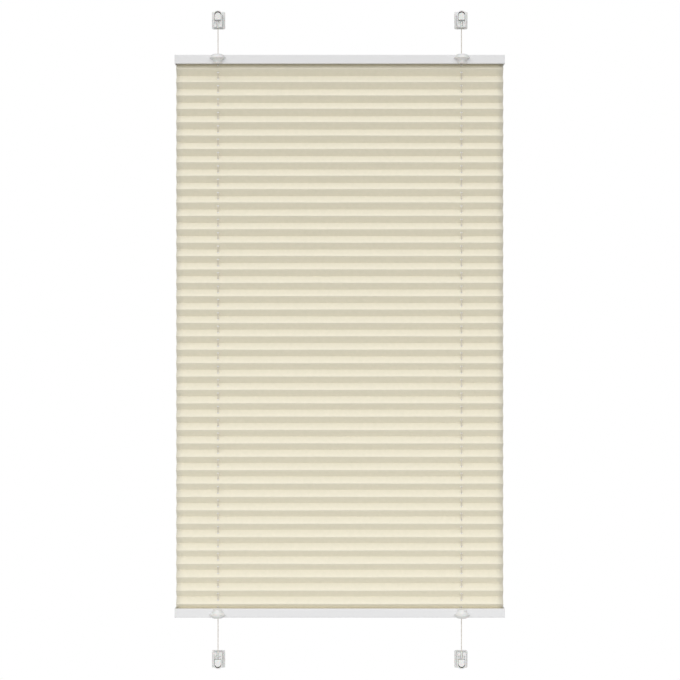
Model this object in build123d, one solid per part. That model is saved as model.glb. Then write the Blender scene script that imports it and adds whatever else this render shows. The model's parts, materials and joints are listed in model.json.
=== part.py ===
"""Pleated blind on two taut cords, with a tension shoe at each of its four fixing points.

Units are millimetres. +X is to the right seen from the room, +Y points at the window, +Z is up. The origin
is the centre of the four screw holes, on the plane that the mounting bases are screwed to.
Each piece is drawn once, in a frame of its own, and then placed. Rails are drawn with the fabric side
at z = 0 and their outer side upwards, fixing points with the cord's mouth at z = 0. The lower ones are
mirrored.
"""

from build123d import *
import math
import os

# Overall sizes
BLIND_WIDTH = 500.0  # rail, over both end caps
HOLE_SPACING = 974.5  # upper screw holes to lower screw holes
CORD_INSET = 65.0  # end of the rail to the cord
TOP_CORD_GAP = 42.5  # upper shoes to the top rail
BOTTOM_CORD_GAP = 53.2  # lower shoes to the bottom rail
CORD_TO_WALL = 14.0  # cord axis in front of the mounting plane

# Running and seating clearances
SEAT_GAP = 0.05  # between flat faces that rest on each other
SOFT_GAP = 0.1  # between the fabric or a cord and what it lies on
CORD_GAP = 0.4  # round the cord in an eyelet

# Cord
CORD_R = 0.7
CROSSING_END_GAP = 0.7  # above and below the bent ends of the crossing lengths

# Rail profile
RAIL_HEIGHT = 13.4
RAIL_WALL = 1.2
RAIL_CORNER_R = 1.0
SLOT_GAP = 0.9  # between the pleats and each side of the slot

# End cap
CAP_THICKNESS = 1.5
CAP_PROUD = 0.3
CAP_CORNER_R = 1.2
CAP_EDGE_R = 0.5
CAP_PLUG_LENGTH = 8.0
CAP_PLUG_WALL = 1.2

# Fabric strip
STRIP_THICKNESS = 1.5
STRIP_BEARING = 3.0  # how much of the wall on each side of the slot it rests on
STRIP_SIDE_GAP = 0.8
STRIP_END_GAP = 0.5
STRIP_HOLE_GAP = 0.9  # round the cord

# Fabric
FABRIC_THICKNESS = 0.4
FABRIC_SIDE_GAP = 0.2
PLEAT_FACE = 14.0  # fold to fold, along the cloth
PLEAT_SPACING = 20.3  # front fold to front fold, before it is fitted to a whole number of pleats
FOLD_INSET = 3.6  # how far past a rail's fabric side the next fold would be, if the sheet went on
FLAP_END_GAP = 0.7  # the flap glued under the strip stops this far from the slot's front edge
PUNCHED_HOLE_R = 2.0

# Cord guide with its finger lip
LIP_WIDTH = 23.4
LIP_REACH = 12.0
LIP_RIM_HEIGHT = 7.8  # from the fabric side to the underside of the rim
LIP_RIM_THICKNESS = 0.8
LIP_DOME_RISE = 0.9  # how far the dome stands off the straight line from the rim to the top plate
LIP_ROOT_R = 6.4  # what the scoop leaves of the lip at its foot
LIP_SCOOP_DEPTH = 1.8  # how far the scoop goes in from the straight line between the rim and the root
GUIDE_TOP_WIDTH = 13.6
GUIDE_TOP_THICKNESS = 0.6
GUIDE_BACK = 4.6  # how far its top plate reaches behind the cord
GUIDE_BACK_CORNER_R = 3.0
GUIDE_FOOT_GAP = 0.6  # the lip's foot stops this far above the fabric side
EYELET_WALL = 1.3
EYELET_BELOW_WALL = 0.8
EYELET_RIM = 0.6

# Mounting base
BASE_WIDTH = 20.0
BASE_HEIGHT = 26.5
BASE_THICKNESS = 2.6
BASE_MOUTH_CORNER_R = 2.2
BASE_END_CORNER_R = 1.6
BASE_EDGE_R = 0.5
SCREW_HOLE_R = 1.8
SCREW_HEAD_R = 3.5
TEE_UNDERCUT = 1.0  # the head stands this far past the neck
TEE_NECK_DEPTH = 1.2
TEE_HEAD_DEPTH = 1.2
TEE_START = 2.5
TEE_END_MARGIN = 5.5  # from the end of the base

# Tension shoe
SHOE_WIDTH = 13.4
SHOE_BEFORE_CORD = 5.5  # its front edge stands this far in front of the cord
SHOE_START = 0.6
SHOE_END_SETBACK = 0.7  # its end stops short of the base's end
SHOE_WALL = 1.4
SHOE_TEE_WALL = 1.6  # beside the T rail's head
SHOE_EDGE_R = 0.5
TEE_GAP = 0.1
CHEEK_END = 5.6  # the block that holds the nozzle's mouth
CHEEK_SETBACK = 0.8
SHELF_THICKNESS = 1.0
SHELF_SETBACK = 3.6  # the lower block that holds the nozzle's tip and carries the spring

# Cord nozzle
NOZZLE_SEAT_GAP = 0.15  # a tapered seat, so it takes more room than a flat one
NOZZLE_MOUTH_R = 2.3
NOZZLE_TIP_WALL = 0.3
NOZZLE_LENGTH = 9.6
NOZZLE_TO_SHELF = 0.4

# Cord carrier and its spring
CARRIER_DEPTH = 9.6
CARRIER_SIDE_GAP = 0.4
CARRIER_END_GAP = 1.7
CARRIER_LIFT = 0.5  # held off the shelf by the spring
CARRIER_EDGE_R = 0.5
CARRIER_POCKET_WALL = 1.85
CARRIER_POCKET_DEPTH = 5.2
CORD_END_MARGIN = 2.1  # the end of the cord lies this far inside the carrier
SPRING_GAP = 0.5  # between the spring and its pocket
SPRING_WIRE_R = 0.25
SPRING_TURNS = 5

# Places that follow from the sizes above
CORD_X = BLIND_WIDTH / 2 - CORD_INSET
MOUTH_Z = HOLE_SPACING / 2 - BASE_HEIGHT / 2
TOP_RAIL_Z = MOUTH_Z - TOP_CORD_GAP - RAIL_HEIGHT
BOTTOM_RAIL_Z = -MOUTH_Z + BOTTOM_CORD_GAP + RAIL_HEIGHT
PROFILE_LENGTH = BLIND_WIDTH - 2 * CAP_THICKNESS

TOP_FOLD = TOP_RAIL_Z + FOLD_INSET
BOTTOM_FOLD = BOTTOM_RAIL_Z - FOLD_INSET
PLEATS = round((TOP_FOLD - BOTTOM_FOLD) / PLEAT_SPACING)
FACE_HEIGHT = (TOP_FOLD - BOTTOM_FOLD) / PLEATS / 2
FACE_DEPTH = math.sqrt(PLEAT_FACE**2 - FACE_HEIGHT**2)
SHEET_DEPTH = FABRIC_THICKNESS * PLEAT_FACE / FACE_HEIGHT  # the sloping sheet, measured along Y
FLAP_INSET = RAIL_WALL - FABRIC_THICKNESS / 2  # the flap lies this far past the rail's fabric side
END_FACE = 1 - (FOLD_INSET - FLAP_INSET) / FACE_HEIGHT  # the end faces, as a share of a whole one

SLOT_WIDTH = FACE_DEPTH + SHEET_DEPTH + 2 * SLOT_GAP
STRIP_WIDTH = SLOT_WIDTH + 2 * STRIP_BEARING
RAIL_DEPTH = STRIP_WIDTH + 2 * (STRIP_SIDE_GAP + RAIL_WALL)
STRIP_Z = RAIL_WALL + SOFT_GAP
STRIP_TOP = STRIP_Z + STRIP_THICKNESS
CAVITY_TOP = RAIL_HEIGHT - RAIL_WALL
EYELET_BORE_R = CORD_R + CORD_GAP

TEE_HEAD_WIDTH = SHOE_WIDTH - 2 * (SHOE_TEE_WALL + TEE_GAP)
TEE_NECK_WIDTH = TEE_HEAD_WIDTH - 2 * TEE_UNDERCUT
TEE_END = BASE_HEIGHT - TEE_END_MARGIN
TEE_FRONT = BASE_THICKNESS + TEE_NECK_DEPTH + TEE_HEAD_DEPTH
SHOE_BACK = BASE_THICKNESS + TEE_GAP
SHOE_FLOOR = TEE_FRONT + TEE_GAP + SHOE_WALL
SHOE_FRONT = CORD_TO_WALL + SHOE_BEFORE_CORD
SHOE_END = BASE_HEIGHT - SHOE_END_SETBACK
NOZZLE_TIP_R = EYELET_BORE_R + NOZZLE_TIP_WALL
SHELF_START = NOZZLE_LENGTH + NOZZLE_TO_SHELF
SHELF_END = SHELF_START + SHELF_THICKNESS
CARRIER_WIDTH = SHOE_WIDTH - 2 * (SHOE_WALL + CARRIER_SIDE_GAP)
CARRIER_START = SHELF_END + CARRIER_LIFT
CARRIER_END = SHOE_END - SHOE_WALL - CARRIER_END_GAP
CARRIER_POCKET_R = CARRIER_WIDTH / 2 - CARRIER_POCKET_WALL
SPRING_R = CARRIER_POCKET_R - SPRING_GAP - SPRING_WIRE_R


def block(low, high):
    """A box between two opposite corners."""
    size = [b - a for a, b in zip(low, high)]
    middle = [(a + b) / 2 for a, b in zip(low, high)]
    return Pos(*middle) * Box(*size)


def upright(radius, bottom, top, x=0.0, y=0.0):
    """A cylinder along Z."""
    return Pos(x, y, (bottom + top) / 2) * Cylinder(radius, top - bottom)


def along_x(section, length):
    """A section drawn in the YZ plane, drawn out to both sides of x = 0."""
    return extrude(Plane.YZ * section, amount=length / 2, both=True)


# --- Rail pieces, with the cord axis at y = 0 and the fabric side at z = 0 ---


def rail_profile():
    outside = Pos(0, RAIL_HEIGHT / 2) * RectangleRounded(RAIL_DEPTH, RAIL_HEIGHT, RAIL_CORNER_R)
    inside = Pos(0, RAIL_HEIGHT / 2) * Rectangle(RAIL_DEPTH - 2 * RAIL_WALL, RAIL_HEIGHT - 2 * RAIL_WALL)
    slot = Rectangle(SLOT_WIDTH, 2 * RAIL_WALL)
    profile = along_x(outside - inside - slot, PROFILE_LENGTH)
    for x in (-CORD_X, CORD_X):
        hole_r = EYELET_BORE_R + EYELET_WALL + SEAT_GAP
        profile -= upright(hole_r, CAVITY_TOP - RAIL_WALL, RAIL_HEIGHT + RAIL_WALL, x)
    return profile


def end_cap(side):
    face = PROFILE_LENGTH / 2
    depth = RAIL_DEPTH + 2 * CAP_PROUD
    height = RAIL_HEIGHT + 2 * CAP_PROUD
    outline = Pos(0, RAIL_HEIGHT / 2) * RectangleRounded(depth, height, CAP_CORNER_R)
    plate = Pos(face, 0, 0) * extrude(Plane.YZ * outline, amount=CAP_THICKNESS)
    plate = fillet(plate.faces().sort_by(Axis.X)[-1].edges(), CAP_EDGE_R)
    half = RAIL_DEPTH / 2 - RAIL_WALL - SEAT_GAP
    bottom = STRIP_TOP + SOFT_GAP
    top = CAVITY_TOP - SEAT_GAP
    plug = block((face - CAP_PLUG_LENGTH, -half, bottom), (face, half, top))
    wall = CAP_PLUG_WALL
    hollow = block(
        (face - CAP_PLUG_LENGTH, -half + wall, bottom + wall),
        (face, half - wall, top - wall),
    )
    cap = plate + (plug - hollow)
    return cap if side > 0 else mirror(cap, about=Plane.YZ)


def arc_between(start, end, rise):
    """An arc that stands off the straight line between two points, to its left if the rise is positive."""
    middle = [(a + b) / 2 for a, b in zip(start, end)]
    along = [b - a for a, b in zip(start, end)]
    scale = rise / math.hypot(*along)
    return ThreePointArc(start, (middle[0] - along[1] * scale, middle[1] + along[0] * scale), end)


def cord_guide(x):
    """An eyelet through the outer wall, with a top plate and a finger lip: a half dome, scooped below."""
    front = -RAIL_DEPTH / 2 - SEAT_GAP
    plate_bottom = RAIL_HEIGHT + SEAT_GAP
    top = plate_bottom + GUIDE_TOP_THICKNESS
    rim_r = LIP_WIDTH / 2
    rim_top = LIP_RIM_HEIGHT + LIP_RIM_THICKNESS
    outline = [
        Line((0, GUIDE_FOOT_GAP), (LIP_ROOT_R, GUIDE_FOOT_GAP)),
        arc_between((LIP_ROOT_R, GUIDE_FOOT_GAP), (rim_r, LIP_RIM_HEIGHT), LIP_SCOOP_DEPTH),
        Line((rim_r, LIP_RIM_HEIGHT), (rim_r, rim_top)),
        arc_between((rim_r, rim_top), (GUIDE_TOP_WIDTH / 2, top), -LIP_DOME_RISE),
        Polyline((GUIDE_TOP_WIDTH / 2, top), (0, top), (0, GUIDE_FOOT_GAP)),
    ]
    dome = revolve(Plane.XZ * make_face(Curve() + outline), axis=Axis.Z)
    axis_y = front - LIP_REACH + rim_r
    body = Pos(0, axis_y, 0) * dome
    body -= block((-LIP_WIDTH, front, -RAIL_HEIGHT), (LIP_WIDTH, LIP_WIDTH, 2 * RAIL_HEIGHT))
    plate = Rectangle(GUIDE_TOP_WIDTH, GUIDE_BACK - axis_y)
    plate = fillet(plate.vertices().group_by(Axis.Y)[-1], GUIDE_BACK_CORNER_R)
    plate = extrude(Pos(0, (GUIDE_BACK + axis_y) / 2) * plate, amount=GUIDE_TOP_THICKNESS)
    body += Pos(0, 0, plate_bottom) * plate
    tube_r = EYELET_BORE_R + EYELET_WALL
    body += upright(tube_r, CAVITY_TOP - EYELET_BELOW_WALL, top + EYELET_RIM)
    body -= upright(EYELET_BORE_R, 0, 2 * RAIL_HEIGHT)
    return Pos(x, 0, 0) * body


def fabric_strip():
    length = PROFILE_LENGTH - 2 * STRIP_END_GAP
    strip = block((-length / 2, -STRIP_WIDTH / 2, STRIP_Z), (length / 2, STRIP_WIDTH / 2, STRIP_TOP))
    for x in (-CORD_X, CORD_X):
        strip -= upright(CORD_R + STRIP_HOLE_GAP, 0, RAIL_HEIGHT, x)
    return strip


def crossing_cord(side):
    """One cord's run through the rail: down from the shoe on one side, across, and on to the fabric."""
    ceiling = CAVITY_TOP - EYELET_BELOW_WALL
    middle = (STRIP_TOP + ceiling) / 2
    rise = (ceiling - STRIP_TOP) / 2 - CROSSING_END_GAP
    bend_r = rise - SOFT_GAP
    y = side * (2 * CORD_R + SOFT_GAP)
    start = side * CORD_X
    route = FilletPolyline(
        (start, y, middle + rise),
        (start, y, middle),
        (-start, y, middle),
        (-start, y, middle - rise),
        radius=bend_r,
    )
    return sweep(Plane(origin=route @ 0, z_dir=route % 0) * Circle(CORD_R), path=route)


# --- Pieces at a fixing point, with the cord's mouth at z = 0 and the mounting plane at y = 0 ---


def base_plate():
    plate = Pos(0, BASE_HEIGHT / 2) * Rectangle(BASE_WIDTH, BASE_HEIGHT)
    ends = plate.vertices().group_by(Axis.Y)
    plate = fillet(ends[0], BASE_MOUTH_CORNER_R)
    plate = fillet(plate.vertices().group_by(Axis.Y)[-1], BASE_END_CORNER_R)
    body = extrude(Plane.XZ * plate, amount=BASE_THICKNESS)
    body = fillet(body.faces().sort_by(Axis.Y)[0].edges(), BASE_EDGE_R)
    neck = BASE_THICKNESS + TEE_NECK_DEPTH
    body += block(
        (-TEE_NECK_WIDTH / 2, -neck, TEE_START), (TEE_NECK_WIDTH / 2, -BASE_THICKNESS / 2, TEE_END)
    )
    body += block((-TEE_HEAD_WIDTH / 2, -TEE_FRONT, TEE_START), (TEE_HEAD_WIDTH / 2, -neck, TEE_END))
    into_wall = Location((0, 0, BASE_HEIGHT / 2), (-90, 0, 0))
    body -= into_wall * Cylinder(SCREW_HOLE_R, 4 * TEE_FRONT)
    sink = SCREW_HEAD_R - SCREW_HOLE_R
    body -= into_wall * (Pos(0, 0, -TEE_FRONT + sink / 2) * Cone(SCREW_HEAD_R, SCREW_HOLE_R, sink))
    return body


def hood_outline(width, start, end):
    """A straight-sided outline that ends in a half circle, in the XZ plane."""
    centre = end - width / 2
    straight = Pos(0, (start + centre) / 2) * Rectangle(width, centre - start)
    return straight + Pos(0, centre) * Circle(width / 2)


def hood(width, start, end, back, front):
    """The hood outline as a solid between two distances from the mounting plane."""
    return Pos(0, -back, 0) * extrude(Plane.XZ * hood_outline(width, start, end), amount=front - back)


def nozzle_radius(z):
    return NOZZLE_MOUTH_R + (NOZZLE_TIP_R - NOZZLE_MOUTH_R) * z / NOZZLE_LENGTH


def nozzle_cone(gap):
    """The nozzle's outer shape, made larger all round by a gap."""
    cone = Cone(NOZZLE_MOUTH_R + gap, NOZZLE_TIP_R + gap, NOZZLE_LENGTH)
    return Pos(0, -CORD_TO_WALL, NOZZLE_LENGTH / 2) * cone


def tension_shoe():
    shoe = hood(SHOE_WIDTH, SHOE_START, SHOE_END, SHOE_BACK, SHOE_FRONT)
    shoe = fillet(shoe.faces().sort_by(Axis.Y)[0].edges(), SHOE_EDGE_R)
    inner_width = SHOE_WIDTH - 2 * SHOE_WALL
    shoe -= hood(inner_width, SHELF_END, SHOE_END - SHOE_WALL, SHOE_FLOOR, SHOE_FRONT + SHOE_WALL)
    for start, end, setback in (
        (SHOE_START - SHOE_WALL, CHEEK_END, CHEEK_SETBACK),
        (CHEEK_END, SHELF_END + SEAT_GAP, SHELF_SETBACK),
    ):
        front = SHOE_FRONT - setback
        shoe -= block((-inner_width / 2, -SHOE_FRONT, start), (inner_width / 2, -front, end))
    shoe -= nozzle_cone(NOZZLE_SEAT_GAP)
    slot = nozzle_radius(CHEEK_END) + NOZZLE_SEAT_GAP
    shoe -= block((-slot, -SHOE_FRONT, 0), (slot, -CORD_TO_WALL, SHELF_START))
    shoe -= upright(EYELET_BORE_R, CHEEK_END, CARRIER_START, 0, -CORD_TO_WALL)
    neck = BASE_THICKNESS + TEE_NECK_DEPTH
    for width, back, front in (
        (TEE_NECK_WIDTH, 0, neck),
        (TEE_HEAD_WIDTH, neck - TEE_GAP, TEE_FRONT + TEE_GAP),
    ):
        half = width / 2 + TEE_GAP
        shoe -= block((-half, -front, 0), (half, -back, TEE_END + TEE_GAP))
    return shoe


def cord_nozzle():
    return nozzle_cone(0) - upright(EYELET_BORE_R, -NOZZLE_LENGTH, 2 * NOZZLE_LENGTH, 0, -CORD_TO_WALL)


def cord_carrier():
    y = -CORD_TO_WALL
    half = CARRIER_DEPTH / 2
    carrier = hood(CARRIER_WIDTH, CARRIER_START, CARRIER_END, -y - half, -y + half)
    carrier = fillet(carrier.faces().sort_by(Axis.Y)[0].edges(), CARRIER_EDGE_R)
    carrier -= upright(CARRIER_POCKET_R, 0, CARRIER_START + CARRIER_POCKET_DEPTH, 0, y)
    return carrier - upright(CORD_R + SEAT_GAP, 0, CARRIER_END, 0, y)


def tension_spring():
    low = SHELF_END + SEAT_GAP + SPRING_WIRE_R
    high = CARRIER_START + CARRIER_POCKET_DEPTH - SEAT_GAP - SPRING_WIRE_R
    coil = Helix((high - low) / SPRING_TURNS, high - low, SPRING_R)
    wire = sweep(Plane(origin=coil @ 0, z_dir=coil % 0) * Circle(SPRING_WIRE_R), path=coil, is_frenet=True)
    return Pos(0, -CORD_TO_WALL, low) * wire


# --- Pieces that run between the fixing points ---


def tension_cord():
    end = MOUTH_Z + CARRIER_END - CORD_END_MARGIN
    return upright(CORD_R, -end, end, 0, -CORD_TO_WALL)


def pleated_fabric():
    """One sheet, folded to and fro about the cord axis, with a flat flap under the strip at each end."""
    folds = [(FACE_DEPTH / 2 * (-1) ** n, TOP_FOLD - n * FACE_HEIGHT) for n in range(2 * PLEATS + 1)]
    end_y = FACE_DEPTH * (END_FACE - 0.5)
    end_z = (1 - END_FACE) * FACE_HEIGHT
    folds[0] = (end_y, TOP_FOLD - end_z)
    folds[-1] = (end_y, BOTTOM_FOLD + end_z)
    front = [(y - SHEET_DEPTH / 2, z) for y, z in folds]
    back = [(y + SHEET_DEPTH / 2, z) for y, z in reversed(folds)]
    section = make_face(Polyline(*front, *back, close=True))
    flap_end = FLAP_END_GAP - SLOT_WIDTH / 2
    for y, z in (folds[0], folds[-1]):
        length = y + SHEET_DEPTH / 2 - flap_end
        section += Pos(flap_end + length / 2, z) * Rectangle(length, FABRIC_THICKNESS)
    width = PROFILE_LENGTH - 2 * FABRIC_SIDE_GAP
    sheet = Pos(0, -CORD_TO_WALL, 0) * along_x(section, width)
    for x in (-CORD_X, CORD_X):
        sheet -= upright(PUNCHED_HOLE_R, -MOUTH_Z, MOUTH_Z, x, -CORD_TO_WALL)
    print("pleats", PLEATS, "spacing", round(2 * FACE_HEIGHT, 2), "depth", round(FACE_DEPTH, 3))
    faces = 2 * PLEATS - 2 * (1 - END_FACE)
    flat = faces * PLEAT_FACE + 2 * (end_y - flap_end)
    print("flat length", round(flat, 1), "flat width", round(width, 1), "end face", round(END_FACE, 3))
    return sheet


def upper(piece, x):
    return Pos(x, 0, MOUTH_Z) * piece


def lower(piece, x):
    return Pos(x, 0, -MOUTH_Z) * mirror(piece, about=Plane.XY)


def top_rail(piece):
    return Pos(0, -CORD_TO_WALL, TOP_RAIL_Z) * piece


def bottom_rail(piece):
    return Pos(0, -CORD_TO_WALL, BOTTOM_RAIL_Z) * mirror(piece, about=Plane.XY)


SIDES = (("left", -1), ("right", 1))

nodes = {"pleated_fabric": pleated_fabric()}

cord = tension_cord()
for side_name, side in SIDES:
    nodes[f"{side_name}_tension_cord"] = Pos(side * CORD_X, 0, 0) * cord

fixing_pieces = {
    "base_plate": base_plate(),
    "tension_shoe": tension_shoe(),
    "cord_nozzle": cord_nozzle(),
    "cord_carrier": cord_carrier(),
    "tension_spring": tension_spring(),
}
for level, place in (("upper", upper), ("lower", lower)):
    for side_name, side in SIDES:
        for piece_name, piece in fixing_pieces.items():
            nodes[f"{level}_{side_name}_{piece_name}"] = place(piece, side * CORD_X)

rail_pieces = {
    "rail_profile": rail_profile(),
    "rail_fabric_strip": fabric_strip(),
    "rail_front_crossing_cord": crossing_cord(-1),
    "rail_rear_crossing_cord": crossing_cord(1),
}
for side_name, side in SIDES:
    rail_pieces[f"rail_{side_name}_end_cap"] = end_cap(side)
    rail_pieces[f"rail_{side_name}_cord_guide"] = cord_guide(side * CORD_X)
for level, place in (("top", top_rail), ("bottom", bottom_rail)):
    for piece_name, piece in rail_pieces.items():
        nodes[f"{level}_{piece_name}"] = place(piece)

os.makedirs("parts", exist_ok=True)
for node, shape in nodes.items():
    export_step(shape, f"parts/{node}.step")
print("nodes", len(nodes))
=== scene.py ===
# %% [markdown]
# # A pleated blind on two taut cords
# The object is a small window blind: two slim white rails with a folded sheet of cream
# polyester between them. Each rail slides along two thin cords. The cords are pulled tight
# between four white fixing points, each of which is a base plate, a tension shoe, a nozzle for
# the cord, and a sprung carrier for its end. The hard pieces arrive as a finished frame with
# the right shapes, so this lesson gives them their finishes, and then makes the two things that
# a solid model can't show well: the cloth and the cords.

# %% Load the frame
import bpy
import json
import math
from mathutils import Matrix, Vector
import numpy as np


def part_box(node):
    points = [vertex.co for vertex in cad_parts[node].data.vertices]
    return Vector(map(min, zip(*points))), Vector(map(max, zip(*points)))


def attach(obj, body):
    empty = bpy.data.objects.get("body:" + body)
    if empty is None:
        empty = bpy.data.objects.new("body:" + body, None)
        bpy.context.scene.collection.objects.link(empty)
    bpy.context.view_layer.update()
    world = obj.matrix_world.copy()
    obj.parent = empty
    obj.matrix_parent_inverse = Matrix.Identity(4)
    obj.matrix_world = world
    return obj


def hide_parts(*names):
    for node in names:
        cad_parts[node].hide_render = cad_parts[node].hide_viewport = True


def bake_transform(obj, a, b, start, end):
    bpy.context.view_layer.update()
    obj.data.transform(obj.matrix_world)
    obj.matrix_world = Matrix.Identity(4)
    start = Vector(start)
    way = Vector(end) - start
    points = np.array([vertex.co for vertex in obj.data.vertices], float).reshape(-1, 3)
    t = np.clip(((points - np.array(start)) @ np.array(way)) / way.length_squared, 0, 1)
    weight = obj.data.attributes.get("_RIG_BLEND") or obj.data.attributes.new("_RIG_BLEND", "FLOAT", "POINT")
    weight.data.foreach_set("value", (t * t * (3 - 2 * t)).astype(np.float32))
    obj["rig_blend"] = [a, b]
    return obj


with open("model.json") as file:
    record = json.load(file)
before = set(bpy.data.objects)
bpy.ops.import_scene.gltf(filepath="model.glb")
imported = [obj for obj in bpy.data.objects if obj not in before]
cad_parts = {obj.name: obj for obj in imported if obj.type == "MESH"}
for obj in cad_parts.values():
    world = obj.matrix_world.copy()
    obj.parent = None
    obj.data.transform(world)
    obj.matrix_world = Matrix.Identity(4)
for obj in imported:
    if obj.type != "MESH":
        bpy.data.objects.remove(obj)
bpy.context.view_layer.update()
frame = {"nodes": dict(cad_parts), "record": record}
NODES = frame["nodes"]

# %% [markdown]
# ## The camera
# A product like this is shown from straight in front with a long lens, so that the rails stay
# parallel and only a sliver of their tops and undersides shows. A 99 mm lens nearly three
# metres away does that. A lens twice as short at half the distance would frame the same height,
# and would bend the rails' ends away.

# %% Place the camera
MM = 0.001
LENS = 99.3
SENSOR_WIDTH = 36
CAMERA_DISTANCE = 2.865
CAMERA_ASIDE = 0.4 * MM  # the blind hangs a hair left of the middle and a hair above it

lens = bpy.data.cameras.new("long_lens")
lens.lens = LENS
lens.sensor_width = SENSOR_WIDTH
camera = bpy.data.objects.new("camera", lens)
camera.location = (CAMERA_ASIDE, -CAMERA_DISTANCE, -CAMERA_ASIDE)
camera.rotation_euler = (math.radians(90), 0, 0)
bpy.context.scene.collection.objects.link(camera)
bpy.context.scene.camera = camera
print("camera at", [round(v, 3) for v in camera.location], "with a lens of", LENS, "mm")

# %% [markdown]
# ## Colours and nodes
# Colours are written as they look on a screen, in hex. Blender works in linear light, so one
# function turns each hex colour into linear numbers. A second small function adds any kind of
# shader node, sets its properties and joins it to the nodes before it. With only these two,
# each material below reads as a recipe.


# %% Two helpers
def linear(hex_colour):
    """An sRGB hex colour as linear red, green, blue and full alpha."""
    channels = [int(hex_colour[i : i + 2], 16) / 255 for i in (1, 3, 5)]
    return [c / 12.92 if c <= 0.04045 else ((c + 0.055) / 1.055) ** 2.4 for c in channels] + [1.0]


def add_node(tree, kind, inputs=None, **settings):
    """A new node with its settings, whose inputs are numbers, colours or other nodes' outputs."""
    node = tree.nodes.new(kind)
    for name, value in settings.items():
        setattr(node, name, value)
    for socket, value in (inputs or {}).items():
        if isinstance(value, bpy.types.NodeSocket):
            tree.links.new(value, node.inputs[socket])
        else:
            node.inputs[socket].default_value = value
    return node


print("#808080 is", round(linear("#808080")[0], 3), "in linear light")

# %% [markdown]
# ## Light and stage
# The light is that of a white studio: an even glow from all round, and one very large soft lamp
# behind the camera, a little above the blind. The glow alone would make the cloth's faces all
# alike. The lamp strikes the faces that look up squarely and grazes those that look down, and
# that is what draws the stripes. From higher up it would draw them harder, but each fold would
# then throw a shadow halfway down the next face. A weaker lamp of the same kind stands on the
# window's side, so that the back isn't left dim. A pale floor lies well below the blind, and
# the room around it is plain white. The standard view transform keeps that white pure.

# %% Light the stage
ROOM_WHITE = "#ffffff"
ROOM_GLOW = 0.21
LAMP_STRENGTH = 2.5
BACK_LAMP_STRENGTH = 0.4
LAMP_HEIGHT = math.radians(35)  # above level, seen from the blind
LAMP_ASIDE = math.radians(5)  # to the left
LAMP_SPREAD = math.radians(100)  # how wide the lamp looks from the blind
FLOOR_DROP = 1.05
FLOOR_SIZE = 5.0

scene = bpy.context.scene
scene.view_settings.view_transform = "Standard"
room = bpy.data.worlds.new("white_room")
scene.world = room
room.use_nodes = True
tree = room.node_tree
tree.nodes.clear()
seen = add_node(tree, "ShaderNodeBackground", {"Color": linear(ROOM_WHITE), "Strength": 1.0})
glow = add_node(tree, "ShaderNodeBackground", {"Color": linear(ROOM_WHITE), "Strength": ROOM_GLOW})
path = add_node(tree, "ShaderNodeLightPath")
both = add_node(
    tree,
    "ShaderNodeMixShader",
    {0: path.outputs["Is Camera Ray"], 1: glow.outputs[0], 2: seen.outputs[0]},
)
add_node(tree, "ShaderNodeOutputWorld", {"Surface": both.outputs[0]})

for name, strength, side in (
    ("soft_lamp", LAMP_STRENGTH, -1),
    ("back_lamp", BACK_LAMP_STRENGTH, 1),
):
    lamp_data = bpy.data.lights.new(name, "SUN")
    lamp_data.energy = strength
    lamp_data.angle = LAMP_SPREAD
    lamp = bpy.data.objects.new(name, lamp_data)
    level = math.cos(LAMP_HEIGHT)
    to_lamp = Vector(
        (
            -math.sin(LAMP_ASIDE) * level,
            side * math.cos(LAMP_ASIDE) * level,
            math.sin(LAMP_HEIGHT),
        )
    )
    lamp.location = to_lamp
    lamp.rotation_euler = to_lamp.to_track_quat("Z", "Y").to_euler()
    scene.collection.objects.link(lamp)
    print(name, "lies towards", [round(v, 2) for v in to_lamp])

half_floor = FLOOR_SIZE / 2
corners = ((-1, -1), (1, -1), (1, 1), (-1, 1))
floor_mesh = bpy.data.meshes.new("floor")
floor_mesh.from_pydata(
    [(x * half_floor, y * half_floor, -FLOOR_DROP) for x, y in corners],
    [],
    [(0, 1, 2, 3)],
)
floor = bpy.data.objects.new("floor", floor_mesh)
scene.collection.objects.link(floor)
print("floor at", -FLOOR_DROP)

# %% [markdown]
# ## Painted floor
# The floor is matt paint. It only has to be pale and plain, with the faintest cloudiness so
# that it doesn't look like a gap in the picture.


# %% Floor material
def new_material(name):
    """An empty material and its node tree."""
    material = bpy.data.materials.new(name)
    material.use_nodes = True
    material.node_tree.nodes.clear()
    return material, material.node_tree


FLOOR_CLOUD = 0.4  # metres from one cloud to the next

matt_paint, tree = new_material("matt_floor_paint")
where = add_node(tree, "ShaderNodeTexCoord")
cloud = add_node(
    tree, "ShaderNodeTexNoise", {"Vector": where.outputs["Object"], "Scale": 1 / FLOOR_CLOUD}
)
tint = add_node(tree, "ShaderNodeValToRGB", {"Fac": cloud.outputs["Fac"]})
tint.color_ramp.elements[0].color = linear("#eeeeec")
tint.color_ramp.elements[1].color = linear("#f4f4f2")
paint = add_node(
    tree, "ShaderNodeBsdfPrincipled", {"Base Color": tint.outputs["Color"], "Roughness": 0.9}
)
add_node(tree, "ShaderNodeOutputMaterial", {"Surface": paint.outputs[0]})
floor_mesh.materials.append(matt_paint)
print("floor is", matt_paint.name)

# %% [markdown]
# ## Powder-coated aluminium
# The rails are extruded aluminium with a baked white powder coat. The powder melts into a satin
# skin with a faint ripple, like the peel of an orange, about 0.8 mm from crest to crest. A flat
# colour would look like paper, so a fine noise lifts and lowers the surface a few microns and
# another, broader one changes the roughness along the rail. It is paint over metal, so it isn't
# metallic to the eye.

# %% Rail coating
PEEL = 0.8 * MM
PEEL_HEIGHT = 0.03 * MM
COATING_DRIFT = 60 * MM  # how far apart slightly glossier places lie

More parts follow.
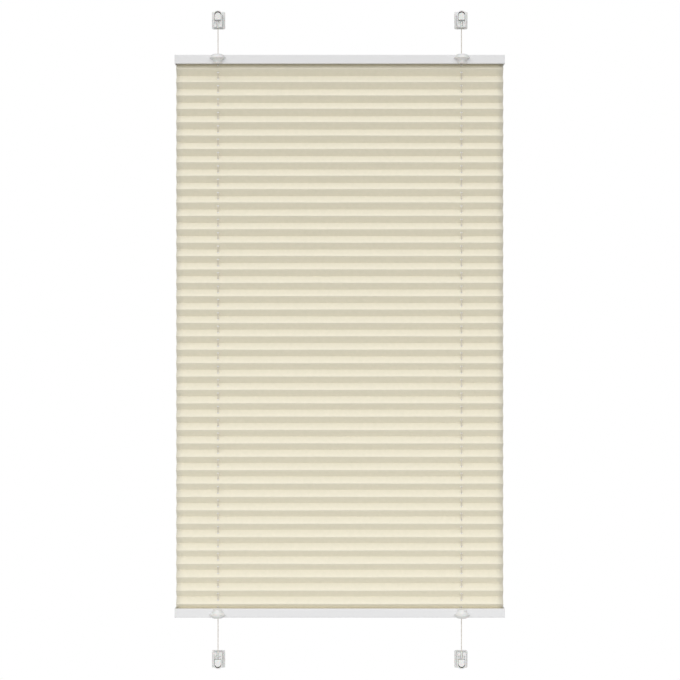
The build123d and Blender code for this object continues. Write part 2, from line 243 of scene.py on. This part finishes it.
powder_coat, tree = new_material("powder_coated_aluminium")
where = add_node(tree, "ShaderNodeTexCoord")
peel = add_node(
    tree,
    "ShaderNodeTexNoise",
    {"Vector": where.outputs["Object"], "Scale": 1 / PEEL, "Detail": 3.0},
)
drift = add_node(
    tree, "ShaderNodeTexNoise", {"Vector": where.outputs["Object"], "Scale": 1 / COATING_DRIFT}
)
gloss = add_node(
    tree, "ShaderNodeMapRange", {"Value": drift.outputs["Fac"], "To Min": 0.38, "To Max": 0.5}
)
tint = add_node(tree, "ShaderNodeValToRGB", {"Fac": peel.outputs["Fac"]})
tint.color_ramp.elements[0].color = linear("#dfdfe0")
tint.color_ramp.elements[1].color = linear("#e4e4e5")
ripple = add_node(
    tree,
    "ShaderNodeBump",
    {"Height": peel.outputs["Fac"], "Strength": 0.35, "Distance": PEEL_HEIGHT},
)
coating = add_node(
    tree,
    "ShaderNodeBsdfPrincipled",
    {
        "Base Color": tint.outputs["Color"],
        "Roughness": gloss.outputs["Result"],
        "Normal": ripple.outputs["Normal"],
        "IOR": 1.5,
    },
)
add_node(tree, "ShaderNodeOutputMaterial", {"Surface": coating.outputs[0]})
print("rail coating: peel of", PEEL / MM, "mm")

# %% [markdown]
# ## Moulded and extruded plastics
# The end caps, cord guides, tension shoes and bases are injection-moulded ABS. The mould is
# spark-eroded, so the plastic has an even, very fine grain of about 0.3 mm, and a soft sheen.
# Plastic lets a little light in before it gives it back, so a touch of subsurface scattering
# keeps thin walls from looking like chalk. The caps are a shade colder than the rest, to match
# the rails' paint. The cord nozzles and the cord carriers are acetal, which is slicker and
# paler, so that cord and spring slide on it easily. The strips that hold the cloth's ends are
# extruded PVC, which looks duller and warmer. All four share one recipe and differ only in
# colour, roughness and how far light gets in.

# %% Plastics
SPARK_GRAIN = 0.3 * MM
GRAIN_HEIGHT = 0.02 * MM
GLOSS_SPREAD = 0.05  # how far the roughness strays to each side
PLASTIC_DRIFT = 9 * MM  # how far apart slightly paler places lie
LIGHT_REACH = 1 * MM  # how far light travels inside the plastic

moulded = {}
for name, darker, lighter, rough, deep in (
    ("moulded_abs", "#e2e2e1", "#e7e7e6", 0.46, 0.06),
    ("cap_abs", "#dfdfe0", "#e4e4e5", 0.44, 0.04),
    ("polished_acetal", "#e4e4e2", "#e9e9e7", 0.3, 0.1),
    ("extruded_pvc", "#e4e4de", "#eaeae4", 0.6, 0.03),
):
    moulded[name], tree = new_material(name)
    where = add_node(tree, "ShaderNodeTexCoord")
    grain = add_node(
        tree,
        "ShaderNodeTexNoise",
        {"Vector": where.outputs["Object"], "Scale": 1 / SPARK_GRAIN, "Detail": 2.0},
    )
    drift = add_node(
        tree, "ShaderNodeTexNoise", {"Vector": where.outputs["Object"], "Scale": 1 / PLASTIC_DRIFT}
    )
    tint = add_node(tree, "ShaderNodeValToRGB", {"Fac": drift.outputs["Fac"]})
    tint.color_ramp.elements[0].color = linear(darker)
    tint.color_ramp.elements[1].color = linear(lighter)
    gloss = add_node(
        tree,
        "ShaderNodeMapRange",
        {
            "Value": grain.outputs["Fac"],
            "To Min": rough - GLOSS_SPREAD,
            "To Max": rough + GLOSS_SPREAD,
        },
    )
    texture = add_node(
        tree,
        "ShaderNodeBump",
        {"Height": grain.outputs["Fac"], "Strength": 0.3, "Distance": GRAIN_HEIGHT},
    )
    plastic = add_node(
        tree,
        "ShaderNodeBsdfPrincipled",
        {
            "Base Color": tint.outputs["Color"],
            "Roughness": gloss.outputs["Result"],
            "Normal": texture.outputs["Normal"],
            "IOR": 1.5,
            "Subsurface Weight": deep,
            "Subsurface Scale": LIGHT_REACH,
        },
    )
    add_node(tree, "ShaderNodeOutputMaterial", {"Surface": plastic.outputs[0]})
    print(name, "with roughness", rough)

# %% [markdown]
# ## Drawn spring steel
# The springs are bright steel wire that has been drawn through a die, which leaves fine
# scratches. They sit deep in the shoes, so a metallic shader with a fine, uneven roughness is
# enough.

# %% Spring wire
SCRATCH = 0.1 * MM

spring_steel, tree = new_material("drawn_spring_steel")
where = add_node(tree, "ShaderNodeTexCoord")
scratches = add_node(
    tree,
    "ShaderNodeTexNoise",
    {"Vector": where.outputs["Object"], "Scale": 1 / SCRATCH, "Detail": 1.0},
)
gloss = add_node(
    tree, "ShaderNodeMapRange", {"Value": scratches.outputs["Fac"], "To Min": 0.22, "To Max": 0.4}
)
tint = add_node(tree, "ShaderNodeValToRGB", {"Fac": scratches.outputs["Fac"]})
tint.color_ramp.elements[0].color = linear("#b4b4b6")
tint.color_ramp.elements[1].color = linear("#cfcfd2")
wire = add_node(
    tree,
    "ShaderNodeBsdfPrincipled",
    {"Base Color": tint.outputs["Color"], "Metallic": 1.0, "Roughness": gloss.outputs["Result"]},
)
add_node(tree, "ShaderNodeOutputMaterial", {"Surface": wire.outputs[0]})
print("springs are", spring_steel.name)

# %% [markdown]
# ## Braided polyester cord
# The cords are braided from white and sand-coloured polyester yarn, about 1.4 mm thick. Up
# close each yarn is a bundle of filaments. The braid itself is made as geometry further down,
# so this material only adds the filaments and the uneven colour of the yarns. The filaments of
# real yarn are some hundredths of a millimetre apart, which is far too fine to show, so they
# are drawn as slanting ridges 1.5 mm apart along the cord.

# %% Cord yarn
FILAMENTS = 1.508 * MM  # along the cord from one drawn ridge to the next
FILAMENT_HEIGHT = 0.05 * MM
YARN_PATCH = 2.5 * MM  # how far apart the paler places lie
SLANTED_WAVES = 10 / (2 * math.pi)  # bands in a metre of each axis, for a slanted wave of scale 1

braided_yarn, tree = new_material("braided_polyester_yarn")
where = add_node(tree, "ShaderNodeTexCoord")
filaments = add_node(
    tree,
    "ShaderNodeTexWave",
    {
        "Vector": where.outputs["Object"],
        "Scale": 1 / FILAMENTS / SLANTED_WAVES,
        "Distortion": 1.5,
        "Detail": 2.0,
    },
    bands_direction="DIAGONAL",
)
patch = add_node(
    tree, "ShaderNodeTexNoise", {"Vector": where.outputs["Object"], "Scale": 1 / YARN_PATCH}
)
tint = add_node(tree, "ShaderNodeValToRGB", {"Fac": patch.outputs["Fac"]})
tint.color_ramp.elements[0].color = linear("#c6beb3")
tint.color_ramp.elements[0].position = 0.35
tint.color_ramp.elements[1].color = linear("#e0dad1")
tint.color_ramp.elements[1].position = 0.65
ridge = add_node(
    tree,
    "ShaderNodeBump",
    {"Height": filaments.outputs["Fac"], "Strength": 0.5, "Distance": FILAMENT_HEIGHT},
)
yarn = add_node(
    tree,
    "ShaderNodeBsdfPrincipled",
    {
        "Base Color": tint.outputs["Color"],
        "Roughness": 0.8,
        "Normal": ridge.outputs["Normal"],
        "Sheen Weight": 0.25,
        "Sheen Roughness": 0.4,
    },
)
add_node(tree, "ShaderNodeOutputMaterial", {"Surface": yarn.outputs[0]})
print("cord yarn: filaments drawn", FILAMENTS / MM, "mm apart")

# %% [markdown]
# ## Finish the hard pieces
# Every hard piece keeps its own mesh and takes the finish of its material slot, which the
# record names. This way a piece that is added to the frame later gets the right finish too.

# %% Give each node its finish
FINISH = {
    "coated_aluminium": powder_coat,
    "cap_plastic": moulded["cap_abs"],
    "moulded_plastic": moulded["moulded_abs"],
    "white_plastic": moulded["polished_acetal"],
    "strip_plastic": moulded["extruded_pvc"],
    "cord": braided_yarn,
    "spring_steel": spring_steel,
}
SLOT_OF = {part["node"]: part["material_slot"] for part in frame["record"]["subparts"]}
for name, piece in NODES.items():
    finish = FINISH.get(SLOT_OF[name])
    if finish is None:
        continue
    piece.data.materials.clear()
    piece.data.materials.append(finish)
print({slot: sum(s == slot for s in SLOT_OF.values()) for slot in FINISH})

# %% [markdown]
# ## Pleated polyester
# The cloth is a thin woven polyester, dyed cream, that is scored, folded and baked so that the
# folds stay. Three things make it look like cloth and not like card: a crossed texture of
# threads, a soft sheen at glancing angles, and a painted highlight that makes the colour a little
# paler along every fold. The threads follow the cloth, not the room, so the texture is laid out on
# the flat sheet. Its first coordinate is metres across the sheet and its second is metres along
# it, fold after fold. Real threads here are about 0.3 mm apart. That is too fine to show, so
# they are drawn 0.9 mm apart.

# %% Cloth material
THREAD = 0.9 * MM
THREAD_HEIGHT = 0.06 * MM
SLUB = 7 * MM  # length of the slightly thicker places in the threads
PLEAT_FACE = 14 * MM  # along the cloth from one fold to the next
# The folds get a painted highlight: the colour is a little paler along each fold.
FOLD_HIGHLIGHT = 1.1 * MM  # how far from the fold the paler line reaches
FOLD_HIGHLIGHT_STRENGTH = 0.45  # the paler colour's share on the fold itself
STRAIGHT_WAVES = 20 / (2 * math.pi)  # bands in a metre, for a straight wave of scale 1

cloth_finish, tree = new_material("pleated_polyester")
where = add_node(tree, "ShaderNodeTexCoord")
thread_wave = {
    "Vector": where.outputs["UV"],
    "Scale": 1 / THREAD / STRAIGHT_WAVES,
    "Distortion": 1.2,
    "Detail": 2.0,
}
across = add_node(tree, "ShaderNodeTexWave", thread_wave, bands_direction="X")
along = add_node(tree, "ShaderNodeTexWave", thread_wave, bands_direction="Y")
threads = add_node(
    tree, "ShaderNodeMath", {0: across.outputs["Fac"], 1: along.outputs["Fac"]}, operation="ADD"
)
slubs = add_node(
    tree,
    "ShaderNodeTexNoise",
    {"Vector": where.outputs["UV"], "Scale": 1 / SLUB, "Detail": 4.0, "Roughness": 0.6},
)
dye = add_node(tree, "ShaderNodeValToRGB", {"Fac": slubs.outputs["Fac"]})
dye.color_ramp.elements[0].color = linear("#e6e1ce")
dye.color_ramp.elements[0].position = 0.3
dye.color_ramp.elements[1].color = linear("#ebe5d3")
dye.color_ramp.elements[1].position = 0.7
split = add_node(tree, "ShaderNodeSeparateXYZ", {"Vector": where.outputs["UV"]})
faces_along = add_node(
    tree, "ShaderNodeMath", {0: split.outputs["Y"], 1: PLEAT_FACE}, operation="DIVIDE"
)
from_fold = add_node(
    tree, "ShaderNodeMath", {0: faces_along.outputs[0], 1: 0.5}, operation="PINGPONG"
)
# Painted highlight: near each fold the dye is mixed towards a paler cream, most on the fold itself.
fold_highlight = add_node(
    tree,
    "ShaderNodeMapRange",
    {
        "Value": from_fold.outputs[0],
        "From Min": 0.0,
        "From Max": FOLD_HIGHLIGHT / PLEAT_FACE,
        "To Min": FOLD_HIGHLIGHT_STRENGTH,
        "To Max": 0.0,
    },
)
# The paler cream of the painted highlight along the folds.
highlighted_dye = add_node(
    tree,
    "ShaderNodeMix",
    {"Factor": fold_highlight.outputs["Result"], "A": dye.outputs["Color"], "B": linear("#f1ebd9")},
    data_type="RGBA",
)
weave = add_node(
    tree,
    "ShaderNodeBump",
    {"Height": threads.outputs[0], "Strength": 0.25, "Distance": THREAD_HEIGHT},
)
cloth = add_node(
    tree,
    "ShaderNodeBsdfPrincipled",
    {
        "Base Color": highlighted_dye.outputs["Result"],
        "Roughness": 0.85,
        "Normal": weave.outputs["Normal"],
        "Specular IOR Level": 0.25,
        "Sheen Weight": 0.15,
        "Sheen Roughness": 0.5,
    },
)
add_node(tree, "ShaderNodeOutputMaterial", {"Surface": cloth.outputs[0]})
print("cloth: threads drawn", THREAD / MM, "mm apart, folds every", PLEAT_FACE / MM, "mm")

# %% [markdown]
# ## The fold pattern
# The cloth is one sheet that zigzags down between the rails. Its 41 pleats have 82 flat faces.
# A face is 14 mm long along the cloth, and how steeply it lies follows from the height that the
# rails leave for it. A modifier could bend a flat sheet, but the folds are sharp and regular,
# so it is simpler to work out where each fold lies and hang the faces between them. The rails
# take hold of the sheet partway down a face, so the first and last faces are shorter. Real
# folds wander a tenth of a millimetre or two, which keeps their highlights from looking ruled,
# so each fold's line is given a slow, small wave of its own.

# %% Where the folds lie
CLOTH_THICKNESS = 0.4 * MM
PLEATS = 41
LAST_FOLD = 2 * PLEATS
END_CUT = 0.256  # the share of a face that the first and the last one lack
WANDER = 0.1 * MM
WANDER_Y = (31, 1.7, 2.3)  # turn per metre across, shift per fold, and fading per fold
WANDER_Z = (23, 2.9, 1.0)  # turn per metre across, shift per fold, and where it starts

cloth_low, cloth_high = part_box("pleated_fabric")
top_fold = cloth_high.z - CLOTH_THICKNESS / 2
bottom_fold = cloth_low.z + CLOTH_THICKNESS / 2
face_height = (top_fold - bottom_fold) / (LAST_FOLD - 2 * END_CUT)
face_depth = math.sqrt(PLEAT_FACE**2 - face_height**2)
cord_y = sum(v.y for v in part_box("left_tension_cord")) / 2
half_width = cloth_high.x


def fold_point(number, x):
    """The place of a fold at x, as y and z. Even folds are at the back, 0 is in the top rail."""
    if number == 0:
        return Vector((cord_y + face_depth * (0.5 - END_CUT), top_fold))
    if number == LAST_FOLD:
        return Vector((cord_y + face_depth * (0.5 - END_CUT), bottom_fold))
    y = cord_y + face_depth / 2 * (-1) ** number
    z = top_fold - (number - END_CUT) * face_height
    across, shift, fade = WANDER_Y
    y += WANDER * math.sin(across * x + shift * number) * math.cos(fade * number)
    across, shift, start = WANDER_Z
    z += WANDER * math.sin(across * x + shift * number + start)
    return Vector((y, z))


def fold_length(number):
    """How far along the cloth a fold lies, counted as if the first face were whole."""
    return min(max(number, END_CUT), LAST_FOLD - END_CUT) * PLEAT_FACE


def on_face(number, x, length):
    """The point of the face below a fold that lies at a length along the cloth."""
    start, end = fold_length(number), fold_length(number + 1)
    return fold_point(number, x).lerp(fold_point(number + 1, x), (length - start) / (end - start))


print("faces", round(face_height / MM, 2), "mm high and", round(face_depth / MM, 2), "mm deep")

# %% [markdown]
# ## One face of the sheet
# Each face has the same flat pattern: a grid with two punched holes that the cords pass
# through. The grid's lines bunch up round each hole, in a square of four by four cells, and the
# hole is joined to that square by a ring of sixteen faces, one for each step along the square's
# border. Cutting the holes with a Boolean modifier would be shorter, but it would leave long
# thin triangles that shade badly. The pattern is worked out once, as columns across and rows
# along, and used for all the faces.

# %% Columns, rows and holes
HOLE_R = 1.6 * MM
HOLE_SQUARE = 2.8 * MM  # half the side of the square round a hole
HOLE_CELLS = 4  # cells along a side of that square
COLUMN_STEP = 12 * MM
CREASE_CUT = 0.45 * MM  # how far from the fold the cloth starts to curve

cord_x = [
    round(sum(v.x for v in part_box(f"{side}_tension_cord")) / 2, 6) for side in ("left", "right")
]
square_steps = [HOLE_SQUARE * (2 * k / HOLE_CELLS - 1) for k in range(HOLE_CELLS + 1)]
columns = [x + step for x in cord_x for step in square_steps]
edges = [-half_width]
for x in cord_x:
    edges += [x - HOLE_SQUARE, x + HOLE_SQUARE]
edges.append(half_width)
for start, end in zip(edges[::2], edges[1::2]):
    steps = max(1, round((end - start) / COLUMN_STEP))
    columns += [start + (end - start) * k / steps for k in range(steps + 1)]
columns = sorted(set(round(x, 7) for x in columns))
rows = [PLEAT_FACE / 2 + step for step in square_steps]
print(len(columns), "columns and", len(rows), "rows on each flat face")

# %% [markdown]
# ## Fold the sheet
# The sheet is built row by row from its top end down. At a fold, the cloth leaves one face,
# turns through four short steps and joins the next, which rounds the crease to about half a
# millimetre. The steps lie on a quadratic curve whose control point is the fold itself. The
# sheet's two ends are short flaps that are glued flat inside the rails.
#
# Both rails move, so the cloth is made as two pieces that meet in a fold at the back near the
# middle. The upper one bends between the top rail and the window, and the lower one between the
# window and the bottom rail.


# %% Sheet maker
FLAP = fold_point(0, 0).x - cloth_low.y
SEAM_FOLD = 40  # an even number, so it is a fold at the back


def crease_point(arrive, fold, leave, turned):
    """A point of the rounded crease, where turned goes from 0 on one face to 1 on the next."""
    to_go = 1 - turned
    return arrive * to_go**2 + fold * (2 * to_go * turned) + leave * turned**2


def sheet_rows(first, last, x):
    """Points of the sheet at x between two folds, each with its length along the cloth."""
    level = Vector((FLAP, 0))
    points = []
    for n in range(first, last + 1):
        fold, length = fold_point(n, x), fold_length(n)
        before = fold_point(n - 1, x) if n > 0 else fold - level
        after = fold_point(n + 1, x) if n < LAST_FOLD else fold - level
        arrive = fold + (before - fold).normalized() * CREASE_CUT
        leave = fold + (after - fold).normalized() * CREASE_CUT
        if n == 0:
            points.append((before, length - FLAP))
        if n > first or n == 0:
            points.append((arrive, length - CREASE_CUT))
            points.append((crease_point(arrive, fold, leave, 0.25), length - CREASE_CUT / 2))
        points.append((crease_point(arrive, fold, leave, 0.5), length))
        if n < last or n == LAST_FOLD:
            points.append((crease_point(arrive, fold, leave, 0.75), length + CREASE_CUT / 2))
            points.append((leave, length + CREASE_CUT))
        if n < last:
            lengths = [n * PLEAT_FACE + row for row in rows]
            points += [(on_face(n, x, length), length) for length in lengths]
        if n == LAST_FOLD:
            points.append((after, length + FLAP))
    return points


def square_border():
    """Cells' corners round the square of a hole, from the middle of its right side, once round."""
    half, full = HOLE_CELLS // 2, HOLE_CELLS
    border = [(full, k) for k in range(half, full)]
    border += [(k, full) for k in range(full, 0, -1)]
    border += [(0, k) for k in range(full, half, -1)]
    return border + [(full - a, full - b) for a, b in border]


def make_sheet(name, first, last):
    """The cloth between two folds, with its holes, as one mesh laid out in metres of cloth."""
    grid = [sheet_rows(first, last, x) for x in columns]
    spots = [((x, p.x, p.y), (x, length)) for x, line in zip(columns, grid) for p, length in line]
    tall = len(grid[0])
    lengths = [length for _, length in grid[0]]
    column_of = {round(x, 7): i for i, x in enumerate(columns)}
    border = square_border()
    inside, rings = set(), []
    for middle in cord_x:
        left = column_of[round(middle - HOLE_SQUARE, 7)]
        for n in range(first, last):
            top = min(range(tall), key=lambda r: abs(lengths[r] - n * PLEAT_FACE - rows[0]))
            inside |= {(left + a, top + b) for a in range(HOLE_CELLS) for b in range(HOLE_CELLS)}
            ring = []
            for k in range(len(border)):
                turn = 2 * math.pi * k / len(border)
                x = middle + HOLE_R * math.cos(turn)
                length = (n + 0.5) * PLEAT_FACE + HOLE_R * math.sin(turn)
                p = on_face(n, middle, length)
                ring.append(len(spots))
                spots.append(((x, p.x, p.y), (x, length)))
            outer = [(left + a) * tall + top + b for a, b in border]
            rings += [(outer[k], outer[k - 1], ring[k - 1], ring[k]) for k in range(len(border))]
    faces = [
        (c * tall + r, c * tall + r + 1, (c + 1) * tall + r + 1, (c + 1) * tall + r)
        for c in range(len(columns) - 1)
        for r in range(tall - 1)
        if (c, r) not in inside
    ] + rings
    used = sorted({v for face in faces for v in face})
    number = {v: i for i, v in enumerate(used)}
    faces = [[number[v] for v in face] for face in faces]
    mesh = bpy.data.meshes.new(name)
    mesh.from_pydata([spots[v][0] for v in used], [], faces)
    layout = mesh.uv_layers.new(name="cloth_metres")
    for loop in mesh.loops:
        layout.data[loop.index].uv = spots[used[loop.vertex_index]][1]
    for polygon in mesh.polygons:
        polygon.use_smooth = True
    mesh.materials.append(cloth_finish)
    piece = bpy.data.objects.new(name, mesh)
    scene.collection.objects.link(piece)
    return piece


upper_cloth = make_sheet("pleated_fabric_upper", 0, SEAM_FOLD)
lower_cloth = make_sheet("pleated_fabric_lower", SEAM_FOLD, LAST_FOLD)
print("upper", len(upper_cloth.data.polygons), "faces, lower", len(lower_cloth.data.polygons))

# %% [markdown]
# ## Let the cloth follow the rails
# A real blind shares out its pleats evenly when a rail moves. The blend between two bodies
# eases in and out, which would crowd the middle pleats until they pass through each other. So
# after the blend is set, each point's share is written again as a straight line: it moves all
# the way with its rail at the rail's end and not at all at the seam. The Solidify modifier then
# gives the cloth its thickness, after any move, so that closed pleats don't get thin.


# %% Blend and thicken
def share_evenly(piece, fixed_z, rail_z, follows_rail):
    """Sets each point's share of the blend by its height between the fixed end and the rail."""
    shares = piece.data.attributes["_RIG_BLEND"].data
    for vertex, share in zip(piece.data.vertices, shares):
        moved = min(1, max(0, (vertex.co.z - fixed_z) / (rail_z - fixed_z)))
        share.value = moved if follows_rail else 1 - moved


seam_z = fold_point(SEAM_FOLD, 0).y
seam = (0, cord_y, seam_z)
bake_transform(upper_cloth, "top_rail", "root", start=(0, cord_y, top_fold), end=seam)
share_evenly(upper_cloth, seam_z, top_fold, follows_rail=False)
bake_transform(lower_cloth, "root", "bottom_rail", start=seam, end=(0, cord_y, bottom_fold))
share_evenly(lower_cloth, seam_z, bottom_fold, follows_rail=True)

for piece, first, last, rail in (
    (upper_cloth, 0, SEAM_FOLD, "top"),
    (lower_cloth, SEAM_FOLD, LAST_FOLD, "bottom"),
):
    thickness = piece.modifiers.new("thickness", "SOLIDIFY")
    thickness.thickness = CLOTH_THICKNESS
    thickness.offset = 0
    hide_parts("pleated_fabric")

# %% [markdown]
# ## The tension cords
# Each cord is a tubular braid of eight yarns: four wind one way, four the other, and they pass
# over and under each other, which gives rows of small diamonds. A braid could be made from
# eight separate yarns, but at this thickness the eye only sees the diamonds. So the cord is one
# tube, whose surface rises and falls with the product of two waves that wind in opposite
# directions.

# %% Braid the cords
YARNS_EACH_WAY = 4
DIAMOND = 1.15 * MM  # along the cord
RELIEF = 0.11 * MM
SIDES = 16
STEPS_PER_DIAMOND = 4

for side in ("left", "right"):
    node = f"{side}_tension_cord"
    low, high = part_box(node)
    middle = (low + high) / 2
    radius = (high.x - low.x) / 2
    rings = round((high.z - low.z) / DIAMOND * STEPS_PER_DIAMOND)
    points = []
    for r in range(rings + 1):
        z = low.z + (high.z - low.z) * r / rings
        lay = math.pi * (z - low.z) / DIAMOND
        for s in range(SIDES):
            turn = 2 * math.pi * s / SIDES
            wind = turn * YARNS_EACH_WAY / 2
            height = abs(math.sin(wind + lay) * math.sin(wind - lay))
            out = radius - RELIEF * (1 - height)
            points.append((middle.x + out * math.cos(turn), middle.y + out * math.sin(turn), z))
    faces = []
    for r in range(rings):
        this_ring, next_ring = r * SIDES, (r + 1) * SIDES
        for s in range(SIDES):
            beside = (s + 1) % SIDES
            faces.append((this_ring + s, this_ring + beside, next_ring + beside, next_ring + s))
    faces.append(tuple(reversed(range(SIDES))))
    faces.append(tuple(range(rings * SIDES, (rings + 1) * SIDES)))
    mesh = bpy.data.meshes.new(f"{side}_braided_cord")
    mesh.from_pydata(points, [], faces)
    for polygon in mesh.polygons:
        polygon.use_smooth = True
    mesh.materials.append(braided_yarn)
    braid = bpy.data.objects.new(f"{side}_braided_cord", mesh)
    scene.collection.objects.link(braid)
    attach(braid, "root")
    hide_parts(node)
    print(braid.name, round(high.z - low.z, 3), "m long,", len(faces), "faces")
